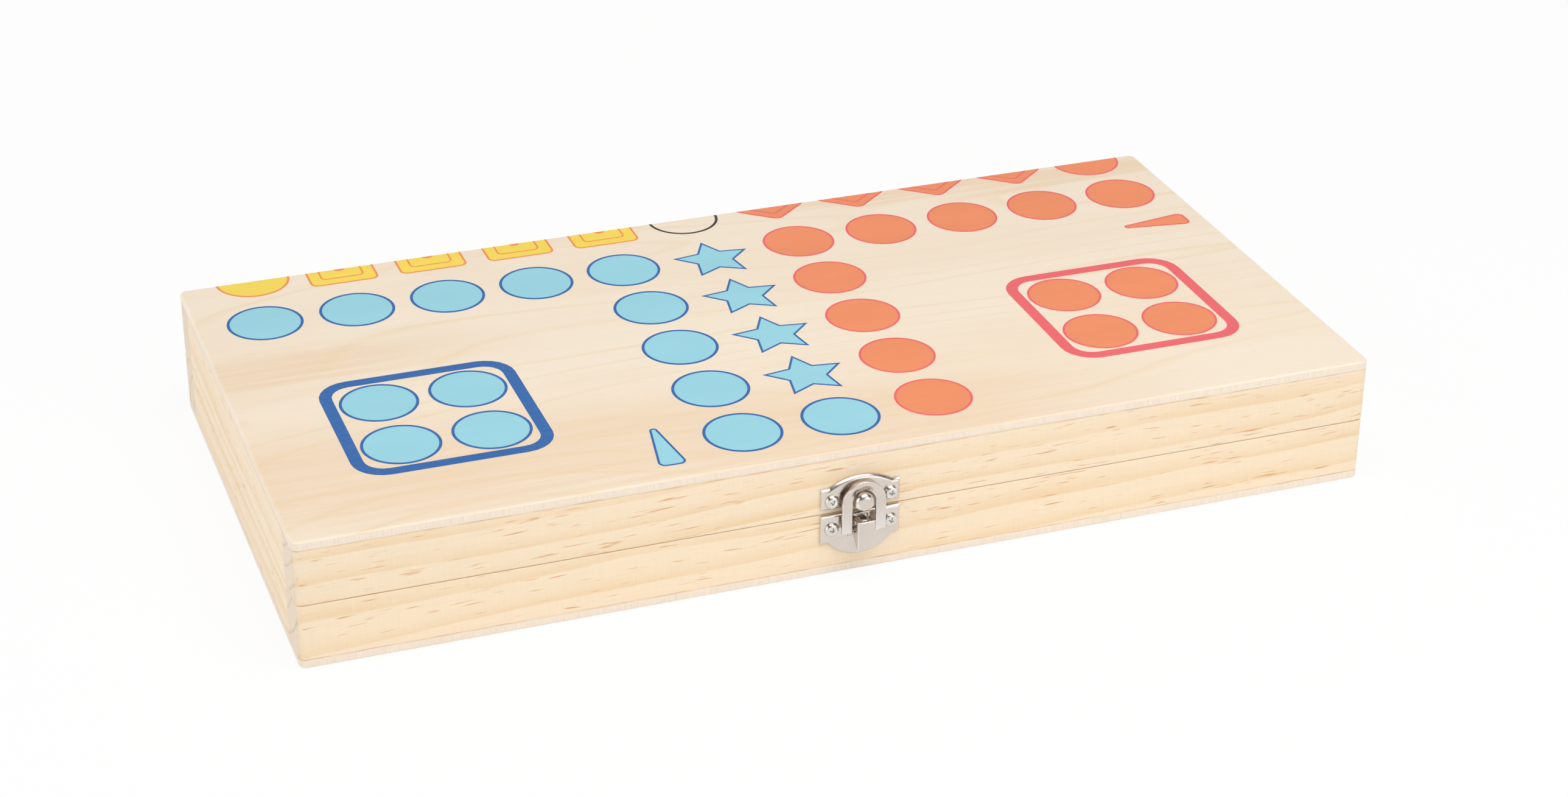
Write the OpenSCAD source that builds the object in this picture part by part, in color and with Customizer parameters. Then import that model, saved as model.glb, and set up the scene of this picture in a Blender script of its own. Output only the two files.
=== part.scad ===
// Folding ludo board box
// Two shallow trays of pine rails under plywood panels, hinged along one long side.
// Shut, they make a flat box held by a toggle latch; laid open, the two panels are the board.
// Units are millimetres. +Z is up, +X runs along the fold, the latch faces -Y and the
// hinges are at +Y. The origin is the middle of the face that the shut box rests on.

/* [Box] */
// Length of the shut box, along the fold
box_l = 300; // [240:1:400]
// Depth of the shut box, half of the open board
box_w = 150; // [120:1:200]
// Height of the pine rails of one tray
rail_h = 15.7; // [15:0.1:24]
// Thickness of the pine rails
rail_t = 12; // [10.5:0.5:16]
// Thickness of the plywood panels
panel_t = 2.5; // [2:0.1:4]
// Gap between the two rims when the box is shut
seam_gap = 0.2; // [0.1:0.05:0.4]
// Radius of the upright corners, seen from above
corner_r = 2; // [1.5:0.1:4]
// Radius of the sanded outer edges of the panels
panel_edge_r = 0.6; // [0.3:0.1:1.2]
// Radius of the sanded rims along the long sides
long_rim_r = 0.25; // [0.15:0.05:0.6]
// Radius of the sanded rims along the short sides
short_rim_r = 1; // [0.6:0.1:1.4]

/* [Hinges] */
// Length of each hinge
hinge_l = 25; // [20:1:36]
// Distance from the ends of the box to the middle of each hinge
hinge_inset = 55; // [30:1:60]
// Width of the flat of each leaf, let into the rim
leaf_w = 6.4; // [5.2:0.1:7]
// Thickness of the leaves
leaf_t = 1; // [0.8:0.1:1.4]
// Outer radius of the hinge knuckles
knuckle_r = 2; // [1.6:0.1:2.4]
// Diameter of the hinge pins
hinge_pin_d = 1.6; // [1.2:0.1:2]
// Distance of the fold axis behind the back faces
axis_set_back = 0.1; // [0.05:0.05:0.2]
// Free room between turning hinge parts
hinge_play = 0.3; // [0.2:0.05:0.5]
// Distance between the two screws of a leaf
leaf_screw_pitch = 15; // [11:0.5:16]

/* [Latch plates] */
// Width of both latch plates
plate_w = 22.2; // [20:0.1:26]
// Thickness of both latch plates
plate_t = 1.2; // [0.8:0.1:1.4]
// Width of the flat ear at each end of a plate
ear_w = 2.1; // [1.4:0.1:2.8]
// Height of the keeper plate's lower edge above the seam
keeper_low = 1.5; // [1:0.1:1.7]
// Height of the keeper plate's ears above the seam
keeper_ear = 7.8; // [7.2:0.1:9]
// Height of the keeper plate's arch above its ears
keeper_arch = 2.7; // [2:0.1:3.4]
// Depth of the base plate's upper edge below the seam
base_top = 0.2; // [0.1:0.1:0.6]
// Depth of the base plate's ears below the seam
base_ear = 8.5; // [7.6:0.1:9]
// Drop of the base plate's arch below its ears
base_arch = 4.5; // [3:0.1:5]
// Distance of the latch screws from the middle
plate_screw_x = 8.25; // [8.25:0.05:8.6]
// Height of the keeper screws above the seam
keeper_screw_z = 4.2; // [3.8:0.1:5]
// Depth of the base screws below the seam
base_screw_z = 4.1; // [3.6:0.1:5]

/* [Hook] */
// Width of the hook, a boss pressed out of the keeper plate
hook_w = 5.5; // [4.6:0.1:5.6]
// Distance that the hook stands out from the wood
hook_out = 5; // [4.4:0.1:5.4]
// Radius of the hook's rounded edges
hook_round = 1.7; // [1:0.1:2]
// Wall of the hook
hook_wall = 0.7; // [0.5:0.1:0.9]
// Room between the hook and the loop that pulls on it
hook_room = 0.3; // [0.2:0.05:0.5]

/* [Loop] */
// Outer width of the loop
loop_w = 12.3; // [11.6:0.1:12.3]
// Width of the loop's opening
loop_open_w = 6.5; // [6.3:0.1:7]
// Thickness of the loop's sheet
loop_t = 0.9; // [0.7:0.1:1]
// Distance of the loop's back face from the wood
loop_out = 2.75; // [2.6:0.05:2.9]
// Height of the centre of the loop's arch above the seam
loop_arch_z = 3.65; // [3.2:0.05:3.9]
// Depth of the lower ends of the loop's legs below the seam
loop_leg_z = 5; // [4.4:0.1:5.4]

/* [Lever] */
// Outer width of the lever, a folded channel
lever_w = 5; // [4.6:0.1:5.2]
// Thickness of the lever's sheet
lever_t = 0.8; // [0.6:0.1:0.9]
// Distance of the lever's front face from the wood
lever_out = 6; // [5.7:0.1:6.4]
// Depth of the lever's upper edge below the seam
lever_top = 0.9; // [0.8:0.1:1.2]
// Depth of the lever's lower end below the seam
lever_low = 9.2; // [8.6:0.1:10]
// Distance of the lever's own pivot from the wood
lever_pin_out = 3.5; // [3.4:0.05:3.6]
// Depth of the lever's own pivot below the seam
lever_pin_z = 2; // [1.8:0.1:2.1]
// Distance of the loop's pivot from the wood
loop_pin_out = 2.5; // [2.4:0.05:2.6]
// Depth of the loop's pivot below the seam
loop_pin_z = 5.6; // [5.4:0.1:6]
// Diameter of the lever's pivot pin
lever_pin_d = 1.2; // [1:0.1:1.3]
// Diameter of the loop's pivot pin
loop_pin_d = 1; // [0.8:0.1:1.1]
// Radial clearance of a moving part on its pin
pin_play = 0.05; // [0.03:0.01:0.08]

/* [Screws] */
// Head diameter of the latch screws
pan_head_d = 4; // [3.6:0.1:4]
// Head height of the latch screws
pan_head_h = 1.25; // [1:0.05:1.3]
// Shank diameter of the latch screws
pan_shank_d = 2; // [1.6:0.1:2.4]
// Length of the latch screws under the head
pan_l = 9; // [7:0.5:9.5]
// Head diameter of the hinge screws
flat_head_d = 3; // [2.6:0.1:3.4]
// Shank diameter of the hinge screws
flat_shank_d = 1.6; // [1.4:0.1:1.8]
// Length of the hinge screws
flat_l = 8; // [6:0.5:10]

/* [Hidden] */

pine = "#F3D9AE";
ply = "#F3E4CC";
steel = "#C9C5C0";
brass = "#C9A45A";
$fn = 64;
over = 1;                                    // how far cutters run past what they cut

rim_z = panel_t + rail_h;                    // rim of the lower tray
seam_z = rim_z + seam_gap / 2;               // parting plane
front_y = -box_w / 2;
back_y = box_w / 2;
axis_y = back_y + axis_set_back;             // fold axis, at the height of the seam
leaf_in_y = axis_y - knuckle_r - hinge_play - leaf_w;
leaf_edge_y = axis_y - knuckle_r - hinge_play;
mortise_play = 0.1;                          // room round a leaf in its mortise
knuckle_l = (hinge_l - 2 * hinge_play) / 3;
hinge_x = box_l / 2 - hinge_inset;

hook_r = hook_w / 2;
loop_r = loop_w / 2;
loop_in_r = loop_open_w / 2;
loop_arch = seam_z + loop_arch_z;
hook_z = loop_arch + loop_in_r - hook_room - hook_r;   // centre of the hook's round top
hook_low = keeper_low + 1.3;
lever_in_w = lever_w - 2 * lever_t;
lug_t = 0.75;                                // sheet of the base plate's two lugs
lug_play = 0.1;
lug_r = 1.25;
lever_eye_r = 1.3;
loop_eye_r = 0.9;
loop_lug_t = 0.8;
pin_proud = 0.25;                            // how far a pin stands out of what it joins
tip_l = 2;                                   // tapered tip of the wood screws

// Shared shapes

module rounded_rect(l, w, r) {
    square([l - 2 * r, w], center = true);
    square([l, w - 2 * r], center = true);
    for (sx = [-1, 1], sy = [-1, 1])
        translate([sx * (l / 2 - r), sy * (w / 2 - r)]) circle(r);
}

// what sanding takes off an edge whose corner is at the origin, the wood being at -x, -y
module edge_waste(r) {
    difference() {
        translate([-r, -r]) square(r + over);
        translate([-r, -r]) circle(r);
    }
}

// slab in the outline of the box, from z = 0 to h, its upper outer edges sanded
module eased_slab(h, long_r, short_r) {
    difference() {
        linear_extrude(h) rounded_rect(box_l, box_w, corner_r);
        for (s = [0, 1]) {
            mirror([0, s, 0]) translate([0, box_w / 2, h]) rotate([90, 0, 90])
                linear_extrude(box_l - 2 * corner_r, center = true) edge_waste(long_r);
            mirror([s, 0, 0]) translate([box_l / 2, 0, h]) rotate([90, 0, 0])
                linear_extrude(box_w - 2 * corner_r * (long_r == short_r ? 1 : 0), center = true)
                    edge_waste(short_r);
        }
        for (sx = [0, 1], sy = [0, 1])
            mirror([sx, 0, 0]) mirror([0, sy, 0])
                translate([box_l / 2 - corner_r, box_w / 2 - corner_r, h])
                    rotate_extrude(angle = 90)
                        translate([corner_r, 0]) edge_waste(long_r);
    }
}

// the four rails of a tray as one ring, rim up, before they are parted
module rail_stock() {
    translate([0, 0, panel_t]) eased_slab(rail_h, long_rim_r, short_rim_r);
}

// turns a shape of the lower tray over into the upper one
module turned_up() {
    translate([0, 0, 2 * seam_z]) mirror([0, 0, 1]) children();
}

module panel() {
    translate([0, 0, panel_t]) mirror([0, 0, 1])
        eased_slab(panel_t, panel_edge_r, panel_edge_r);
}

// front and back rails run the full length; their ends show on the short faces
module long_rail(side) {
    intersection() {
        rail_stock();
        translate([0, side * (box_w - rail_t) / 2, seam_z / 2])
            cube([box_l + 2 * over, rail_t, seam_z + 2 * over], center = true);
    }
}

module short_rail(side) {
    intersection() {
        rail_stock();
        translate([side * (box_l - rail_t) / 2, 0, seam_z / 2])
            cube([rail_t, box_w - 2 * rail_t, seam_z + 2 * over], center = true);
    }
}

// cylinder along X, centred on x
module rod(r, l, x, y, z) {
    translate([x, y, z]) rotate([0, 90, 0]) cylinder(r = r, h = l, center = true);
}

// sheet shape drawn as seen from the front (x, z), its back face at a distance out of the wood
module from_front(out, t) {
    translate([0, front_y - out, 0]) rotate([90, 0, 0]) linear_extrude(t) children();
}

// profile drawn as distance out of the wood and height, given width w along X
module across(w, x = 0) {
    translate([x, front_y, 0]) rotate([90, 0, -90]) linear_extrude(w, center = true) children();
}

// Screws

// crossed recess, cut down from the origin
module cross_recess(d, w, deep) {
    for (a = [0, 90]) rotate([0, 0, a])
        translate([0, 0, over / 2 - deep / 2]) cube([d, w, deep + over], center = true);
}

// round-headed wood screw, head up, its seat at z = 0
module pan_screw(turn) {
    rim = 0.3;
    cap = pan_head_h - rim;
    ball = (pow(pan_head_d / 2, 2) + cap * cap) / (2 * cap);
    difference() {
        union() {
            rotate_extrude() intersection() {
                translate([0, pan_head_h - ball]) circle(ball, $fn = 96);
                square([pan_head_d / 2, pan_head_h]);
            }
            translate([0, 0, tip_l - pan_l]) cylinder(d = pan_shank_d, h = pan_l - tip_l);
            translate([0, 0, -pan_l])
                cylinder(d1 = pan_shank_d * 0.15, d2 = pan_shank_d, h = tip_l);
        }
        translate([0, 0, pan_head_h]) rotate([0, 0, turn])
            cross_recess(pan_head_d * 0.52, pan_head_d * 0.13, pan_head_h * 0.6);
    }
}

// countersunk wood screw, its flat head's top at z = 0
module flat_screw(turn) {
    sink = (flat_head_d - flat_shank_d) / 2;
    difference() {
        union() {
            translate([0, 0, -sink]) cylinder(d1 = flat_shank_d, d2 = flat_head_d, h = sink);
            translate([0, 0, tip_l - flat_l]) cylinder(d = flat_shank_d, h = flat_l - tip_l - sink);
            translate([0, 0, -flat_l])
                cylinder(d1 = flat_shank_d * 0.15, d2 = flat_shank_d, h = tip_l);
        }
        rotate([0, 0, turn])
            cross_recess(flat_head_d * 0.55, flat_head_d * 0.14, flat_head_d * 0.2);
    }
}

// the wood that a screw of either kind takes away
module pan_pilot() {
    translate([0, 0, tip_l - pan_l]) cylinder(d = pan_shank_d, h = pan_l - tip_l + over);
    translate([0, 0, -pan_l]) cylinder(d1 = pan_shank_d * 0.15, d2 = pan_shank_d, h = tip_l);
}

module flat_pilot() {
    sink = (flat_head_d - flat_shank_d) / 2;
    translate([0, 0, -sink]) cylinder(d1 = flat_shank_d, d2 = flat_head_d, h = sink);
    translate([0, 0, tip_l - flat_l]) cylinder(d = flat_shank_d, h = flat_l - tip_l);
    translate([0, 0, -flat_l]) cylinder(d1 = flat_shank_d * 0.15, d2 = flat_shank_d, h = tip_l);
}

// places of the two screws of one lower leaf
module at_leaf_screws(side) {
    for (s = [-1, 1])
        translate([side * hinge_x + s * leaf_screw_pitch / 2, (leaf_in_y + leaf_edge_y) / 2, rim_z])
            children();
}

// place of a latch screw, its axis out of the wood
module at_latch_screw(side, z) {
    translate([side * plate_screw_x, front_y - plate_t, z]) rotate([90, 0, 0]) children();
}

// Hinges

// flat of a lower leaf with knuckles k (0 to 2 along X) rolled onto it
module leaf(side, ks) {
    x0 = side * hinge_x - hinge_l / 2;
    difference() {
        union() {
            translate([x0, leaf_in_y, rim_z - leaf_t]) cube([hinge_l, leaf_w, leaf_t]);
            for (k = ks) {
                xk = x0 + k * (knuckle_l + hinge_play);
                translate([xk, leaf_edge_y - 0.5, rim_z - leaf_t])
                    cube([knuckle_l, axis_y - leaf_edge_y + 0.5, leaf_t]);
                rod(knuckle_r, knuckle_l, xk + knuckle_l / 2, axis_y, seam_z);
            }
        }
        at_leaf_screws(side) flat_pilot();
        children();
    }
}

// the two outer knuckles hold the pin tight
module lower_leaf(side) {
    leaf(side, [0, 2]) rod(hinge_pin_d / 2, hinge_l + 2, side * hinge_x, axis_y, seam_z);
}

// the middle knuckle turns on the pin
module upper_leaf(side) {
    turned_up() leaf(side, [1])
        rod(hinge_pin_d / 2 + pin_play, hinge_l + 2, side * hinge_x, axis_y, seam_z);
}

module hinge_pin(side) {
    rod(hinge_pin_d / 2, hinge_l, side * hinge_x, axis_y, seam_z);
}

// mortise, knuckle relief and screw pilots that a hinge needs in the lower rim
module hinge_seat(side) {
    translate([side * hinge_x - hinge_l / 2 - mortise_play, leaf_in_y - mortise_play, rim_z - leaf_t])
        cube([hinge_l + 2 * mortise_play, box_w, leaf_t + over]);
    rod(knuckle_r + hinge_play, hinge_l + 2 * hinge_play, side * hinge_x, axis_y, seam_z);
    at_leaf_screws(side) flat_pilot();
}

// Trays

module lower_panel() { color(ply) panel(); }

module upper_panel() { color(ply) turned_up() panel(); }

module lower_front_rail() {
    color(pine) difference() {
        long_rail(-1);
        for (s = [-1, 1]) at_latch_screw(s, seam_z - base_screw_z) pan_pilot();
    }
}

module upper_front_rail() {
    color(pine) difference() {
        turned_up() long_rail(-1);
        for (s = [-1, 1]) at_latch_screw(s, seam_z + keeper_screw_z) pan_pilot();
    }
}

module lower_back_rail() {
    color(pine) difference() {
        long_rail(1);
        for (s = [-1, 1]) hinge_seat(s);
    }
}

module upper_back_rail() {
    color(pine) turned_up() difference() {
        long_rail(1);
        for (s = [-1, 1]) hinge_seat(s);
    }
}

module lower_left_rail() { color(pine) short_rail(-1); }

module lower_right_rail() { color(pine) short_rail(1); }

module upper_left_rail() { color(pine) turned_up() short_rail(-1); }

module upper_right_rail() { color(pine) turned_up() short_rail(1); }

module left_hinge_lower_leaf() { color(brass) lower_leaf(-1); }

module right_hinge_lower_leaf() { color(brass) lower_leaf(1); }

module left_hinge_upper_leaf() { color(brass) upper_leaf(-1); }

module right_hinge_upper_leaf() { color(brass) upper_leaf(1); }

module left_hinge_pin() { color(steel) hinge_pin(-1); }

module right_hinge_pin() { color(steel) hinge_pin(1); }

module left_hinge_lower_screws() { color(brass) at_leaf_screws(-1) flat_screw(20); }

module right_hinge_lower_screws() { color(brass) at_leaf_screws(1) flat_screw(65); }

module left_hinge_upper_screws() { color(brass) turned_up() at_leaf_screws(-1) flat_screw(40); }

module right_hinge_upper_screws() { color(brass) turned_up() at_leaf_screws(1) flat_screw(5); }

// Latch

// plate seen from the front: a strip from z0 to z1 with an arch of the given rise on z1
module plate_outline(z0, z1, rise) {
    half = plate_w / 2 - ear_w;
    r = (half * half + rise * rise) / (2 * abs(rise));
    up = rise > 0 ? 1 : -1;
    translate([-plate_w / 2, min(z0, z1)]) square([plate_w, abs(z1 - z0)]);
    intersection() {
        translate([0, z1 + rise - up * r]) circle(r, $fn = 128);
        translate([0, z1 + up * abs(rise) / 2 - up * 0.25])
            square([2 * half, abs(rise) + 0.5], center = true);
    }
}

// solid hook: round top on straight sides, its front edges rounded by r
module hook_body(half, out, r, low) {
    // section at the foot: half width across, distance out upwards
    module half_section() {
        square([half, out - r]);
        square([half - r, out]);
        translate([half - r, out - r]) circle(r);
    }
    translate([0, front_y, hook_z]) rotate([90, 0, 0]) {
        rotate_extrude() intersection() {
            half_section();
            square([half, out]);
        }
        rotate([90, 0, 0]) linear_extrude(hook_z - low) {
            half_section();
            mirror([1, 0]) half_section();
        }
    }
}

module latch_keeper_plate() {
    low = seam_z + hook_low;
    color(steel) difference() {
        union() {
            from_front(0, plate_t)
                plate_outline(seam_z + keeper_low, seam_z + keeper_ear, keeper_arch);
            hook_body(hook_r, hook_out, hook_round, low);
        }
        // the boss is hollow and open below
        hook_body(hook_r - hook_wall, hook_out - hook_wall, hook_round - hook_wall / 2,
            seam_z + keeper_low - over);
        for (s = [-1, 1]) at_latch_screw(s, seam_z + keeper_screw_z) pan_pilot();
    }
}

// lug of the base plate: an eye on a foot
module lug_profile() {
    translate([lever_pin_out, seam_z - lever_pin_z]) circle(lug_r);
    translate([plate_t - 0.4, seam_z - lever_pin_z - lug_r])
        square([lever_pin_out - plate_t + 0.4, 2 * lug_r]);
    translate([plate_t - 0.4, seam_z - lever_pin_z - lug_r - 0.6]) square([1.4, 1]);
}

module latch_base_plate() {
    color(steel) difference() {
        union() {
            from_front(0, plate_t)
                plate_outline(seam_z - base_top, seam_z - base_ear, -base_arch);
            for (s = [-1, 1])
                across(lug_t, s * (lever_in_w / 2 - lug_play - lug_t / 2)) lug_profile();
        }
        rod(lever_pin_d / 2, lever_w + 2, 0, front_y - lever_pin_out, seam_z - lever_pin_z);
        for (s = [-1, 1]) at_latch_screw(s, seam_z - base_screw_z) pan_pilot();
    }
}

module latch_lever_pin() {
    color(steel) rod(lever_pin_d / 2, lever_w + 2 * pin_proud, 0,
        front_y - lever_pin_out, seam_z - lever_pin_z);
}

// side of the lever, as distance out of the wood and height
module lever_side() {
    top = seam_z - lever_top;
    low = seam_z - lever_low;
    pz = seam_z - lever_pin_z;
    lz = seam_z - loop_pin_z;
    difference() {
        union() {
            polygon([
                [lever_out, top], [lever_pin_out, top],
                [lever_pin_out - lever_eye_r, pz], [loop_pin_out - loop_eye_r, lz],
                [loop_pin_out - loop_eye_r / 2, lz - loop_eye_r * 0.87],
                [lever_out - 1.2, low], [lever_out, low]]);
            intersection() {
                translate([lever_pin_out, pz]) circle(lever_eye_r);
                translate([0, pz - 3]) square([lever_out, top - pz + 3]);
            }
            translate([loop_pin_out, lz]) circle(loop_eye_r);
        }
        // round bite between the two eyes
        translate([loop_pin_out - 0.55, (pz + lz) / 2 - 0.05]) circle(1.05);
    }
}

// section of the folded channel seen from above, its front face at the top
module lever_section() {
    bend = lever_t;
    difference() {
        union() {
            translate([-lever_w / 2, 0]) square([lever_w, lever_out - bend]);
            translate([bend - lever_w / 2, 0]) square([lever_w - 2 * bend, lever_out]);
            for (s = [-1, 1])
                translate([s * (lever_w / 2 - bend), lever_out - bend]) circle(bend);
        }
        translate([-lever_in_w / 2, -over]) square([lever_in_w, lever_out - lever_t + over]);
    }
}

module latch_lever() {
    h = lever_low - lever_top + 2;
    color(steel) difference() {
        intersection() {
            across(lever_w + 2) lever_side();
            translate([0, front_y, seam_z - lever_low - 1])
                linear_extrude(h) mirror([0, 1]) lever_section();
        }
        rod(lever_pin_d / 2 + pin_play, lever_w + 2, 0,
            front_y - lever_pin_out, seam_z - lever_pin_z);
        rod(loop_pin_d / 2, lever_w + 2, 0, front_y - loop_pin_out, seam_z - loop_pin_z);
    }
}

module latch_loop_pin() {
    color(steel) rod(loop_pin_d / 2, 2 * (loop_in_r + loop_lug_t + pin_proud), 0,
        front_y - loop_pin_out, seam_z - loop_pin_z);
}

// loop seen from the front: an arch on two legs
module loop_outline() {
    difference() {
        union() {
            translate([0, loop_arch]) circle(loop_r, $fn = 96);
            translate([-loop_r, seam_z - loop_leg_z]) square([loop_w, loop_arch_z + loop_leg_z]);
        }
        translate([0, loop_arch]) circle(loop_in_r);
        translate([-loop_in_r, seam_z - loop_leg_z - over])
            square([loop_open_w, loop_arch_z + loop_leg_z + over]);
    }
}

// tongue bent back from each leg to the loop's pivot
module loop_tongue() {
    lz = seam_z - loop_pin_z;
    translate([loop_pin_out, lz]) circle(loop_eye_r);
    translate([loop_pin_out - loop_eye_r, lz])
        square([loop_out + loop_t - loop_pin_out + loop_eye_r, loop_pin_z - loop_leg_z + 1.6]);
}

module latch_loop() {
    color(steel) difference() {
        union() {
            from_front(loop_out, loop_t) loop_outline();
            for (s = [-1, 1])
                across(loop_lug_t, s * (loop_in_r + loop_lug_t / 2)) loop_tongue();
        }
        rod(loop_pin_d / 2 + pin_play, loop_w + 2, 0,
            front_y - loop_pin_out, seam_z - loop_pin_z);
    }
}

module latch_base_screw_left() {
    color(steel) at_latch_screw(-1, seam_z - base_screw_z) pan_screw(8);
}

module latch_base_screw_right() {
    color(steel) at_latch_screw(1, seam_z - base_screw_z) pan_screw(24);
}

module latch_keeper_screw_left() {
    color(steel) at_latch_screw(-1, seam_z + keeper_screw_z) pan_screw(26);
}

module latch_keeper_screw_right() {
    color(steel) at_latch_screw(1, seam_z + keeper_screw_z) pan_screw(14);
}

lower_panel();
lower_front_rail();
lower_back_rail();
lower_left_rail();
lower_right_rail();
upper_panel();
upper_front_rail();
upper_back_rail();
upper_left_rail();
upper_right_rail();
left_hinge_lower_leaf();
left_hinge_upper_leaf();
left_hinge_pin();
right_hinge_lower_leaf();
right_hinge_upper_leaf();
right_hinge_pin();
left_hinge_lower_screws();
left_hinge_upper_screws();
right_hinge_lower_screws();
right_hinge_upper_screws();
latch_base_plate();
latch_base_screw_left();
latch_base_screw_right();
latch_lever_pin();
latch_lever();
latch_loop_pin();
latch_loop();
latch_keeper_plate();
latch_keeper_screw_left();
latch_keeper_screw_right();
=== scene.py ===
import math

import bmesh
import bpy
from bpy.props import FloatProperty, FloatVectorProperty, PointerProperty
from mathutils import Matrix, Vector


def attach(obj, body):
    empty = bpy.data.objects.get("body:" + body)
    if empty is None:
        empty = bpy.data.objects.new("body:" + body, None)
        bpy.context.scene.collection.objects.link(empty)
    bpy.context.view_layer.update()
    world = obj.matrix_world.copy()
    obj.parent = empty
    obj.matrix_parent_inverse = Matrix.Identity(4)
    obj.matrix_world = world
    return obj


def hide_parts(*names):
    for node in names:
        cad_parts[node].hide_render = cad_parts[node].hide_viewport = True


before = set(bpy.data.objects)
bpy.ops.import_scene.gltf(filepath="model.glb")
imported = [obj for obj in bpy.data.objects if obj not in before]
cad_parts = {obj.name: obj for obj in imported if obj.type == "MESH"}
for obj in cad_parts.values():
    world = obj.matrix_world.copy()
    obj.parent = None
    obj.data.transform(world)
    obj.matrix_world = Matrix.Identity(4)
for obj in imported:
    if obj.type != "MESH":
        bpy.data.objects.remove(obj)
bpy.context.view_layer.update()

bl_info = {
    "name": "Folding ludo board box",
    "version": (1, 0, 0),
    "blender": (4, 5, 0),
    "location": "3D View > Sidebar > Ludo box",
    "description": "Wood, print and metal of a folding ludo board box, dressed over its packed frame",
    "category": "Object",
}

MM = 0.001
TOP = 36.6          # outer face of the upper panel, in mm over the floor
PANEL = 2.5         # thickness of a panel, in mm
FOLD = 75.0         # the fold side of both panels, in mm
EASED = 0.6         # radius of the panels' outer edges, in mm
INK_IN = 0.03       # how far a printed film reaches into the wood, in mm
FILL_OUT = 0.03     # how far a colour field stands out of the wood, in mm
LINE_OUT = 0.05     # how far an outline stands out, so that it covers the field's edge

LONG_RAIL = 69.0    # middle of the front and back rails' depth from the box's middle, in mm
SHORT_RAIL = 144.0  # middle of the left and right rails' width from the box's middle, in mm
LOW_RAIL = 10.35    # middle of the lower rails' height, in mm
HIGH_RAIL = 26.25   # middle of the upper rails' height, in mm

ROW_PITCH = 26.2    # from field to field along the fold, in mm
ROW_SHIFT = 1.0     # how far right of the panel's middle the fold row's middle is printed, in mm
RIGHT_SHIFT = 2.4   # how far right of the panel's grid all on the right side is printed, in mm
YARD_X = 100.0      # middle of a yard from the board's middle column, in mm
YARD_Y = -22.0      # middle of a yard, in mm
HOME_STEP = 12.2    # middle of a home place from its yard's, both ways, in mm

FRONT = -75.0       # front face of the rails, in mm
PLATE_FACE = -76.2  # front face of the latch plates, in mm
LOOP_BACK = -77.75  # back face of the loop's sheet, in mm
LEVER_FACE = -81.0  # front face of the lever, in mm
LUG_TOP = 17.0      # how high the base plate's lugs reach, in mm over the floor
SCREW_X = 8.25      # a latch screw from the latch's middle, in mm
NEAR = 0.01         # how far beside a face a cut or a test passes, in mm

# the camera, fitted to the box's corners: its place in m and its turns in degrees
CAMERA_PLACE = (-0.26671, -0.73853, 0.42895)
CAMERA_TURNS = (62.1173, -0.4550, -20.0504)


# Colours

def linear(code):
    """sRGB hex, as #RRGGBB, to the linear colour that a shader or a lamp takes."""
    parts = [int(code[i:i + 2], 16) / 255 for i in (1, 3, 5)]
    return tuple(c / 12.92 if c <= 0.04045 else ((c + 0.055) / 1.055) ** 2.4 for c in parts)


def opaque(colour):
    """A colour of three numbers, from a property or a hex code, with its alpha of 1."""
    return (*(linear(colour) if isinstance(colour, str) else colour), 1.0)


# Properties

def colour_property(name, description, code):
    return FloatVectorProperty(
        name=name, description=description, default=linear(code), subtype="COLOR", size=3, min=0, max=1
    )


def length_property(name, description, mm):
    return FloatProperty(name=name, description=description, default=mm * MM, unit="LENGTH", min=0)


class WoodLook(bpy.types.PropertyGroup):
    """Colours and grain of the rails and the panels."""

    pine: colour_property("Pine", "Early wood of the rails", "#F9E5C8")
    pine_band: colour_property("Pine band", "Late wood of the rails", "#F2D3A6")
    pine_streak: colour_property("Pine streak", "Short resin streaks in the rails", "#DE9F60")
    pine_end: colour_property("Pine end grain", "Sawn ends of the long rails", "#EEDDC7")
    veneer: colour_property("Veneer", "Face veneer of the panels", "#F7E8D3")
    veneer_band: colour_property("Veneer band", "Broad flushed bands in the face veneer", "#F0D5B5")
    core: colour_property("Core", "Cross-laid core that shows on a panel's edge", "#F8EADA")
    ring_pitch: length_property("Ring pitch", "Distance between two growth rings of the pine", 5.8)


class PrintLook(bpy.types.PropertyGroup):
    """Sizes and inks of the board."""

    field: length_property("Field", "Diameter of a round field over its outline", 21.3)
    outline: length_property("Outline", "Width of a field's outline", 0.8)
    star: length_property("Star", "Radius of a star's points", 11.9)
    yard: length_property("Yard", "Side of the square round four home places", 54.0)
    sky: colour_property("Sky blue", "Blue fields", "#98D6E5")
    deep_blue: colour_property("Deep blue", "Blue outlines and bands", "#1E65AE")
    orange: colour_property("Orange", "Orange fields", "#F38F60")
    coral: colour_property("Coral", "Orange outlines and bands", "#F0646B")
    yellow: colour_property("Yellow", "Yellow fields", "#FCDC55")
    amber: colour_property("Amber", "Yellow outlines and bands", "#F2924B")
    green: colour_property("Green", "Green fields", "#A5D88C")
    deep_green: colour_property("Deep green", "Green outlines and bands", "#3F9A57")
    black: colour_property("Black", "Neutral outline", "#3A3833")


class MetalLook(bpy.types.PropertyGroup):
    """Plating of the latch and the hinges."""

    nickel: colour_property("Nickel", "Satin nickel plate of the latch", "#DAD0C7")
    screw: colour_property("Screw", "Bright nickel plate of the screws", "#DEDAD4")
    brass: colour_property("Brass", "Brass plate of the hinges", "#DDBA74")
    worn_edge: length_property("Pressed edge", "Size of the rounded edges of the lever and its pins", 0.22)
    rolled_edge: length_property("Rolled edge", "Radius of the plates' rolled borders", 0.85)
    dish: length_property("Dish", "How deep the loop's arch is dished", 1.05)
    rough: FloatProperty(
        name="Roughness", description="Roughness of the satin nickel", default=0.24,
        min=0, max=1, subtype="FACTOR"
    )


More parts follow.
